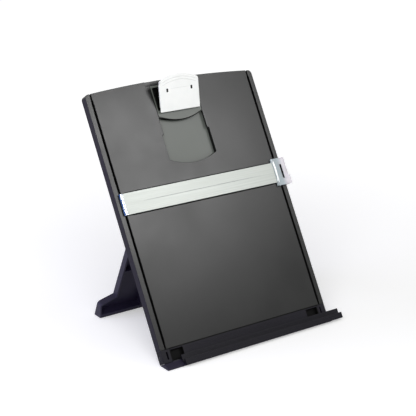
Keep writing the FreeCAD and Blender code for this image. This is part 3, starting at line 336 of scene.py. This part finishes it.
# Base rail, end caps and rubber strip
# The rail is a black moulding under the board with a thin toe on the table, an entry pocket near
# each end and fine ridges along its wall. A block closes each end, and rubber is let into the sole.
base_black = black_moulding("base_satin_black", (0.005, 0.0045, 0.008), (0.008, 0.007, 0.012),
                            roughness=0.45, specular=0.08, spark_depth=0.012)
# A purple-tinted black for the toe, as painted cool light on it.
painted_toe_light_black = black_moulding("painted_cool_light_toe_black", (0.010, 0.008, 0.020), (0.015, 0.012, 0.027),
                           roughness=0.45, specular=0.14, spark_depth=0.012)
rail = moulding("base_rail", "frame", base_black, edge=0.35)
POCKET_INNER, POCKET_OUTER, POCKET_LOW, POCKET_HIGH, POCKET_FLOOR = 90.0, 107.0, 0.9, 13.6, -4.6
TOE_TOP = -0.3
# Painted shade: the pockets' inner faces are drawn near-black.
second_finish(rail, BOARD_PLANE, shade_and_seam_black,
              lambda x, up, off: (abs(x) > POCKET_INNER) & (abs(x) < POCKET_OUTER)
              & (up > POCKET_LOW) & (up < POCKET_HIGH) & (off < BELOW_FACE) & (off > POCKET_FLOOR))
# Painted light: the toe's faces take the purple-tinted black.
second_finish(rail, BOARD_PLANE, painted_toe_light_black, lambda x, up, off: up < TOE_TOP)
RIDGE_REACH = 88.5
rail_ridge_heights = np.array([6.6, 8.4, 10.2, 12.0])[:, None]
rail_ridge_run = np.linspace(-RIDGE_REACH, RIDGE_REACH, 9)[None, :] + 0.0 * rail_ridge_heights
bead("base_rail_ridges", BOARD_PLANE, rail_ridge_run, rail_ridge_heights + 0.0 * rail_ridge_run,
     off=-0.02, width=0.6, height=0.2, material=base_black, body="frame")
for side in ("left", "right"):
    moulding("base_end_cap_" + side, "frame", base_black, edge=0.45)
CAP_INNER, CAP_OUTER, SEAM_LOW, SEAM_UP, GAP_SHADE_UP = 107.2, 119.3, 0.4, 15.4, -0.1
seam_x = np.linspace(-CAP_OUTER, CAP_OUTER, 41)
bead("base_long_seam", BOARD_PLANE, seam_x, SEAM_UP + 0.0 * seam_x, off=-0.08, width=1.6,
     height=0.18, material=shade_and_seam_black, body="frame")
seam_ends = np.array([-1.0, 1.0])[:, None]
seam_rise = np.linspace(SEAM_LOW, SEAM_UP, 9)[None, :]
bead("base_cap_seams", BOARD_PLANE, CAP_INNER * seam_ends + 0.0 * seam_rise,
     seam_rise + 0.0 * seam_ends, off=-0.08, width=1.5, height=0.18, material=shade_and_seam_black,
     body="frame")
# A near-black bead along the foot of each end cap: painted shade in the gap there.
gap_shade_x = np.linspace(CAP_INNER, CAP_OUTER, 9)[None, :] * seam_ends
bead("base_cap_gap_shade", BOARD_PLANE, gap_shade_x, GAP_SHADE_UP + 0.0 * gap_shade_x, off=-0.2, width=1.0,
     height=0.5, material=shade_and_seam_black, body="frame")

rubber, nodes, links, shader = finish("black_rubber", (0.013, 0.013, 0.013), 0.82)
shader.inputs["Specular IOR Level"].default_value = 0.3
bloom = grain(nodes, links, 220.0, 6.0)
links.new(two_tone(nodes, links, bloom, 0.35, 0.75, (0.011, 0.011, 0.011), (0.024, 0.023, 0.022)),
          shader.inputs["Base Color"])
relief(nodes, links, shader, bloom, 0.03 * MM)
moulding("front_grip_strip", "frame", rubber, edge=0.2, steps=2)

# Paper ledge
# Extruded black shelf as long as the board: a low wall, a channel for the sheets' edge and a lip.
# Fine ridges run along its wall and its lip.
ledge_black = black_moulding("ledge_black", (0.005, 0.0045, 0.008), (0.007, 0.0065, 0.010),
                             roughness=0.45, specular=0.08, spark_depth=0.01)
moulding("paper_ledge", "ledge", ledge_black, edge=0.4)
ledge_low, ledge_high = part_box("paper_ledge")
RIDGE_MARGIN = 2.0
ledge_run = np.linspace(ledge_low[0] / MM + RIDGE_MARGIN, ledge_high[0] / MM - RIDGE_MARGIN,
                        9)[None, :]
for part, face, heights in (("wall", 3.4, (1.0, 2.2, 3.4)), ("lip", 9.3, (-6.4, -4.4, -2.4))):
    levels = np.array(heights)[:, None]
    bead("paper_ledge_{}_ridges".format(part), BOARD_PLANE, ledge_run + 0.0 * levels,
         levels + 0.0 * ledge_run, off=face - 0.02, width=0.6, height=0.2, material=ledge_black,
         body="ledge")

# Clip slider
# Grey-black plate in the track, with a pocket for the clip's works and two pin ears. Its faces sunk
# below its front, the pocket's among them, and its ears are drawn near-black as painted shade, and
# a thin black line round its edge is painted shade of the gap round it, with another round the
# pocket. A bowed steel leaf behind it holds it at its height, and a dark steel pin carries the clip
# and its torsion spring, whose upper leg pushes on the clip.
slider_grey = black_moulding("slider_grey_black", (0.084, 0.093, 0.083), (0.106, 0.116, 0.104),
                             roughness=0.5, specular=0.25, spark_depth=0.008)
slider = moulding("clip_slider", "clip_slide", slider_grey, edge=0.3, steps=2)
SUNK, RAISED, EAR_BOTTOM = -0.05, 0.1, 287.0
# Painted shade: faces sunk below the front and the ears are drawn near-black.
second_finish(slider, BOARD_PLANE, shade_and_seam_black,
              lambda x, up, off: (off < SUNK) | ((off > RAISED) & (up > EAR_BOTTOM)))
slider_side, slider_corner, slider_bottom, slider_top = 31.1, 280.1, 272.6, 317.0
side_up = np.linspace(slider_top, slider_corner, 30)
bottom_x = np.linspace(-slider_side, slider_side, 41)[1:-1]
bottom_up = slider_bottom + (slider_corner - slider_bottom) * (bottom_x / slider_side) ** 2
# A near-black line round the slider's edge: painted shade of the gap round it.
bead("clip_slider_gap_shade", BOARD_PLANE,
     np.concatenate([0.0 * side_up - slider_side, bottom_x, 0.0 * side_up + slider_side]),
     np.concatenate([side_up, bottom_up, side_up[::-1]]), off=-0.12, width=1.3, height=0.16,
     material=shade_and_seam_black, body="clip_slide")
rim_side, rim_bottom, rim_top = 28.9, 287.3, 316.0
rim_up = np.linspace(rim_top, rim_bottom, 30)
rim_x = np.linspace(-rim_side, rim_side, 30)[1:-1]
# A near-black line round the pocket's edge, painted shade.
bead("clip_slider_pocket_edge_shade", BOARD_PLANE,
     np.concatenate([0.0 * rim_up - rim_side, rim_x, 0.0 * rim_up + rim_side]),
     np.concatenate([rim_up, 0.0 * rim_x + rim_bottom, rim_up[::-1]]), off=-0.12, width=1.2,
     height=0.16, material=shade_and_seam_black, body="clip_slide")
spring_steel, nodes, links, shader = finish("spring_steel", (0.55, 0.54, 0.52), 0.28)
shader.inputs["Metallic"].default_value = 1.0
drawn = grain(nodes, links, 1500.0, 3.0)
links.new(spread(nodes, links, drawn, 0.3, 0.7, 0.2, 0.38), shader.inputs["Roughness"])
moulding("slider_friction_spring", "clip_slide", spring_steel, edge=0.05, steps=1)
# The pin's near-black metal also serves as painted shade where it shows through the lever's holes.
moulding("clip_pivot_pin", "clip_slide", screw_metal, edge=0.2, steps=2)

spring = joined_copy("clip_torsion_spring", "clip_torsion_spring_wound", screw_metal)
PIN_UP, PIN_OFF = 306.2, 5.7
pin_place = place_on(BOARD_PLANE, 0.0, PIN_UP, PIN_OFF) / MM
# The spring's leg leaves the coil at COIL_REACH from the pin, LEG_LIFT degrees above the lever.
# The places at COIL_REACH and LEG_BEND_END along it are worked out and not used.
LEVER_ANGLE, LEG_LIFT, COIL_REACH, LEG_BEND_END = 83.0, 12.0, 3.2, 5.2
leg_plane = leaning_plane(LEVER_ANGLE + LEG_LIFT, pin_place)
tuple(place_on(leg_plane, 0.0, COIL_REACH, 0.0))
tuple(place_on(leg_plane, 0.0, LEG_BEND_END, 0.0))
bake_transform(spring)

# Clip lever and jaw pad
# White ABS lever with an arched top and rolled edges, on a steel pin. Two arcs follow its top, a
# fine line runs between its holes, and a rubber pad lies under its lower edge. The arcs and the
# line are drawn in a greyer white as painted shade, and the holes' walls and the ears' cheeks in
# near-black as painted shade.
LEVER_PLANE = leaning_plane(LEVER_ANGLE, pin_place)
LEVER_FRONT, LEVER_BACK = 6.8, 5.1
HOLE_OFFSET, HOLE_UP, HOLE_REACH, HOLE_RISE = 17.3, 3.0, 1.4, 2.1
EAR_INNER, EAR_OUTER, EAR_FRONT = 23.0, 25.5, 4.4


def satin_white(name, dark, light):
    """White ABS with a faint drift of tone and gloss from handling."""
    material, nodes, links, shader = finish(name, light, 0.34)
    shader.inputs["Specular IOR Level"].default_value = 0.3
    drift = grain(nodes, links, 60.0, 4.0)
    links.new(two_tone(nodes, links, drift, 0.3, 0.75, dark, light), shader.inputs["Base Color"])
    links.new(spread(nodes, links, drift, 0.3, 0.7, 0.30, 0.38), shader.inputs["Roughness"])
    return material


def shaded_on_lever(x, up, off):
    """The walls of the lever's two holes and the cheeks of its two ears, drawn near-black as
    painted shade.
    """
    at_hole = (abs(abs(x) - HOLE_OFFSET) < HOLE_REACH) & (abs(up - HOLE_UP) < HOLE_RISE)
    hole_wall = at_hole & (off > LEVER_BACK) & (off < LEVER_FRONT - 0.1)
    cheek = (off < EAR_FRONT) & (abs(x) > EAR_INNER) & (abs(x) < EAR_OUTER)
    return hole_wall | cheek


clip_white = satin_white("clip_white", (0.87, 0.885, 0.87), (0.91, 0.92, 0.905))
# A greyer white for the arcs and the line: painted shade of their raised edges.
arc_shade_white = satin_white("clip_arc_painted_shade_white", (0.70, 0.71, 0.70), (0.76, 0.77, 0.76))
lever = moulding("clip_lever", "clip", clip_white, edge=0.6, steps=4)
# Painted shade: the holes' walls and the ears' cheeks are drawn near-black.
second_finish(lever, LEVER_PLANE, shade_and_seam_black, shaded_on_lever)
moulding("clip_jaw_pad", "clip", rubber, edge=0.2, steps=2)

top_radius, top_rise, top_edge, arc_reach = 63.13, 6.5, 14.5, 24.6
top_middle = top_edge + top_rise - top_radius
arc_x = np.linspace(-arc_reach, arc_reach, 41)[None, :]
arc_depths = np.array([3.4, 6.6])[:, None]
arc_heights = top_middle + np.sqrt((top_radius - arc_depths) ** 2 - arc_x ** 2)
bead("clip_lever_arcs", LEVER_PLANE, arc_x + 0.0 * arc_depths, arc_heights,
     off=LEVER_FRONT - 0.03, width=0.8, height=0.3, material=arc_shade_white, body="clip")
LINE_REACH, LINE_UP = 15.0, 4.6
line_x = np.linspace(-LINE_REACH, LINE_REACH, 9)
bead("clip_lever_line", LEVER_PLANE, line_x, LINE_UP + 0.0 * line_x, off=LEVER_FRONT - 0.02,
     width=0.5, height=0.1, material=arc_shade_white, body="clip")

# Line guide
# A brushed silver strip between a blue-clear runner in the left groove and a clear carriage that
# wraps the board's right edge. A steel leaf in the carriage holds it where it is set.
GUIDE_MIDDLE = 185.4
strip_silver, nodes, links, shader = finish("brushed_silver_strip", (0.39, 0.41, 0.39), 0.40)
shader.inputs["Specular IOR Level"].default_value = 0.25
shader.inputs["Metallic"].default_value = 0.06
lines = grain(nodes, links, 1.0, 4.0, (9.0, 900.0, 900.0))
links.new(two_tone(nodes, links, lines, 0.3, 0.7, (0.35, 0.375, 0.35), (0.43, 0.455, 0.425)),
          shader.inputs["Base Color"])
links.new(spread(nodes, links, lines, 0.3, 0.7, 0.34, 0.48), shader.inputs["Roughness"])
moulding("guide_strip", "guide", strip_silver, edge=0.3)

line_grey, nodes, links, shader = finish("reading_line_grey", (0.26, 0.28, 0.27), 0.5)
worn = grain(nodes, links, 160.0, 4.0, (0.3, 1.0, 1.0))
links.new(two_tone(nodes, links, worn, 0.3, 0.7, (0.22, 0.24, 0.23), (0.29, 0.31, 0.30)),
          shader.inputs["Base Color"])
STRIP_LOW, STRIP_HIGH, STRIP_START, STRIP_END = 172.6, 198.3, -109.5, 104.5
LINE_START, LINE_END = -104.5, 103.0
reading_x = np.linspace(LINE_START, LINE_END, 9)
bead("guide_strip_line", BOARD_PLANE, reading_x, GUIDE_MIDDLE + 0.0 * reading_x, off=2.55,
     width=0.9, height=0.1, material=line_grey, body="guide")
# Near-black lines along the strip's two long edges: painted shade and shadow on the board.
edge_x = np.linspace(STRIP_START, STRIP_END, 41)[None, :]
edge_ups = np.array([STRIP_LOW, STRIP_HIGH])[:, None]
bead("guide_strip_edge_shade", BOARD_PLANE, edge_x + 0.0 * edge_ups, edge_ups + 0.0 * edge_x,
     off=0.55, width=2.0, height=0.4, material=shade_and_seam_black, body="guide")


def clear_moulding(name, near, far, start, end, milk, specular):
    """Clear polystyrene: see-through with a milky share, polished, with faint flow marks. Its
    tint runs from near to far between two places across, in millimetres, as painted light: it
    stands in for what shows through the plastic and for refraction at its edge."""
    material, nodes, links, shader = finish(name, near, 0.08)
    shader.inputs["IOR"].default_value = 1.49
    shader.inputs["Transmission Weight"].default_value = 1.0 - milk
    shader.inputs["Specular IOR Level"].default_value = specular
    flow = grain(nodes, links, 90.0, 3.0)
    links.new(spread(nodes, links, flow, 0.3, 0.7, 0.05, 0.14), shader.inputs["Roughness"])
    place = nodes.new("ShaderNodeTexCoord")
    parts = nodes.new("ShaderNodeSeparateXYZ")
    links.new(place.outputs["Object"], parts.inputs["Vector"])
    across = spread(nodes, links, parts.outputs["X"], start * MM, end * MM, 0.0, 1.0)
    links.new(two_tone(nodes, links, across, 0.0, 1.0, near, far), shader.inputs["Base Color"])
    return material


# The runner's blue deepens towards its outer edge as painted refraction.
clear_blue = clear_moulding("clear_blue", (0.14, 0.27, 0.62), (0.30, 0.44, 0.72),
                            start=-113.8, end=-110.6, milk=0.45, specular=0.5)
# The carriage pales towards and past the board's edge as painted light seen through it.
clear_carriage = clear_moulding("clear_carriage", (0.60, 0.68, 0.72), (0.93, 0.90, 0.95),
                                start=114.0, end=120.0, milk=0.55, specular=0.5)
moulding("guide_left_runner", "guide", clear_blue, edge=0.2)
carriage = moulding("guide_carriage", "guide", clear_carriage, edge=0.3)
SLIT_X, SLIT_REACH, SLIT_HALF_WIDTH, SLIT_FLOOR, SLIT_TOP = 116.4, 8.6, 1.4, 0.3, 3.7
# Painted shade: the slit's walls and a bead on its floor are drawn near-black.
second_finish(carriage, BOARD_PLANE, shade_and_seam_black,
              lambda x, up, off: (abs(x - SLIT_X) < SLIT_HALF_WIDTH)
              & (abs(up - GUIDE_MIDDLE) < SLIT_REACH + 0.5) & (off > SLIT_FLOOR) & (off < SLIT_TOP))
slit_up = np.linspace(GUIDE_MIDDLE - SLIT_REACH, GUIDE_MIDDLE + SLIT_REACH, 15)
bead("guide_carriage_slit_floor", BOARD_PLANE, SLIT_X + 0.0 * slit_up, slit_up, off=0.9,
     width=2.3, height=0.2, material=shade_and_seam_black, body="guide")
moulding("guide_tension_spring", "guide", spring_steel, edge=0.05, steps=1)

# A white bead on the carriage's inner edge: a painted highlight.
highlight_white, nodes, links, shader = finish("carriage_painted_highlight", (0.93, 0.94, 0.94), 0.12)
highlight_grain = grain(nodes, links, 300.0, 3.0)
links.new(two_tone(nodes, links, highlight_grain, 0.3, 0.7, (0.90, 0.92, 0.92), (0.95, 0.96, 0.96)),
          shader.inputs["Base Color"])
CARRIAGE_EDGE, CARRIAGE_LOW, CARRIAGE_HIGH, CARRIAGE_FRONT = 107.4, 14.5, 15.5, 3.7
edge_up = np.linspace(GUIDE_MIDDLE - CARRIAGE_LOW, GUIDE_MIDDLE + CARRIAGE_HIGH, 13)
bead("guide_carriage_highlight", BOARD_PLANE, CARRIAGE_EDGE + 0.0 * edge_up, edge_up,
     off=CARRIAGE_FRONT, width=2.2, height=0.3, material=highlight_white, body="guide")

# Rear leg and hinges
# Two black brackets are screwed to the board's back, each with a steel pin. The leg is a tray
# moulding, open to the front, with a shelf, two uprights and rubber pads in its flared feet.
# A purple-tinted black, lighter than the board's, for the leg and its brackets: painted cool light.
leg_cool_lit_black = black_moulding("leg_black_painted_cool_light", (0.010, 0.008, 0.022), (0.016, 0.013, 0.031),
                           roughness=0.45, specular=0.2, spark_depth=0.015)
moulding("rear_leg", "leg", leg_cool_lit_black, edge=0.4)
for side in ("left", "right"):
    moulding("leg_hinge_bracket_" + side, "frame", leg_cool_lit_black, edge=0.3)
    moulding("leg_hinge_pin_" + side, "frame", spring_steel, edge=0.2, steps=2)
    moulding("leg_foot_pad_" + side, "leg", rubber, edge=0.15, steps=2)

# Room, lights and camera
# A white studio floor under a wide soft light from the front left, a soft light for the sheen
# that falls down the board from its top left, and a weak cool light from the left.


def see_white(nodes, links):
    """1 where the camera, a reflection or a view through clear plastic looks, otherwise 0."""
    path = nodes.new("ShaderNodeLightPath")
    total = path.outputs["Is Camera Ray"]
    for other in ("Is Glossy Ray", "Is Transmission Ray"):
        either = nodes.new("ShaderNodeMath")
        either.operation = "MAXIMUM"
        links.new(total, either.inputs[0])
        links.new(path.outputs[other], either.inputs[1])
        total = either.outputs["Value"]
    return total


AMBIENT = 0.45
world = bpy.data.worlds.new("studio")
bpy.context.scene.world = world
world.use_nodes = True
nodes, links = world.node_tree.nodes, world.node_tree.links
background = nodes["Background"]
background.inputs["Color"].default_value = (1.0, 1.0, 1.0, 1.0)
strength = spread(nodes, links, see_white(nodes, links), 0.0, 1.0, AMBIENT, 1.0)
links.new(strength, background.inputs["Strength"])

FLOOR_REACH = 6.0
floor_corners = [(across * FLOOR_REACH, back * FLOOR_REACH, 0.0)
                 for across, back in ((-1, -1), (1, -1), (1, 1), (-1, 1))]
floor_mesh = bpy.data.meshes.new("floor")
floor_mesh.from_pydata(floor_corners, [], [(0, 1, 2, 3)])
floor = bpy.data.objects.new("floor", floor_mesh)
bpy.context.scene.collection.objects.link(floor)
floor_white, nodes, links, shader = finish("floor_white", (0.90, 0.90, 0.895), 0.9)
shader.inputs["Specular IOR Level"].default_value = 0.0
shader.inputs["Emission Color"].default_value = (1.0, 1.0, 1.0, 1.0)
place = nodes.new("ShaderNodeTexCoord")
distance = nodes.new("ShaderNodeVectorMath")
distance.operation = "LENGTH"
links.new(place.outputs["Object"], distance.inputs[0])
# The floor's glow for camera and reflections is weaker near its middle: painted shade round the
# holder, on top of its own shadows.
glow_with_painted_shade = spread(nodes, links, distance.outputs["Value"], 0.25, 1.0, 0.3, 0.6)
lift = nodes.new("ShaderNodeMath")
lift.operation = "MULTIPLY"
links.new(see_white(nodes, links), lift.inputs[0])
links.new(glow_with_painted_shade, lift.inputs[1])
links.new(lift.outputs["Value"], shader.inputs["Emission Strength"])
floor_mesh.materials.append(floor_white)


def soft_light(name, place, aim, size, power, colour=(1.0, 1.0, 1.0)):
    """A square soft light at a place, turned to its aim."""
    lamp = bpy.data.lights.new(name, "AREA")
    lamp.shape = "SQUARE"
    lamp.size = size
    lamp.energy = power
    lamp.color = colour
    holder = bpy.data.objects.new(name, lamp)
    bpy.context.scene.collection.objects.link(holder)
    holder.location = place
    holder.rotation_euler = (Vector(aim) - Vector(place)).to_track_quat("-Z", "Y").to_euler()
    return holder


HOLDER_MIDDLE = (0.0, 0.08, 0.12)
soft_light("front_left_light", (-0.75, -0.85, 0.8), HOLDER_MIDDLE, size=1.1, power=13.5)
# The sheen lamp shows in reflections only, so it leaves the white and silver pieces as they are.
sheen_light = soft_light("board_sheen_light", (0.45, -0.581, 0.798), (-0.05, 0.13, 0.24),
                         size=0.35, power=12.0)
sheen_light.visible_diffuse = False
soft_light("left_cool_light", (-1.1, 0.5, 0.35), HOLDER_MIDDLE, size=0.7, power=6.0,
           colour=(0.62, 0.62, 1.0))

CAMERA_PLACE = (-0.8148, -1.0610, 0.6097)
CAMERA_WAY = (0.5504, 0.7733, -0.3147)
camera = bpy.data.cameras.new("camera")
camera.lens = 108.16
camera.sensor_width = 36.0
camera.clip_start = 0.05
camera.clip_end = 50.0
viewer = bpy.data.objects.new("camera", camera)
bpy.context.scene.collection.objects.link(viewer)
viewer.location = CAMERA_PLACE
viewer.rotation_euler = Vector(CAMERA_WAY).to_track_quat("-Z", "Y").to_euler()
bpy.context.scene.camera = viewer
bpy.context.scene.view_settings.view_transform = "Standard"
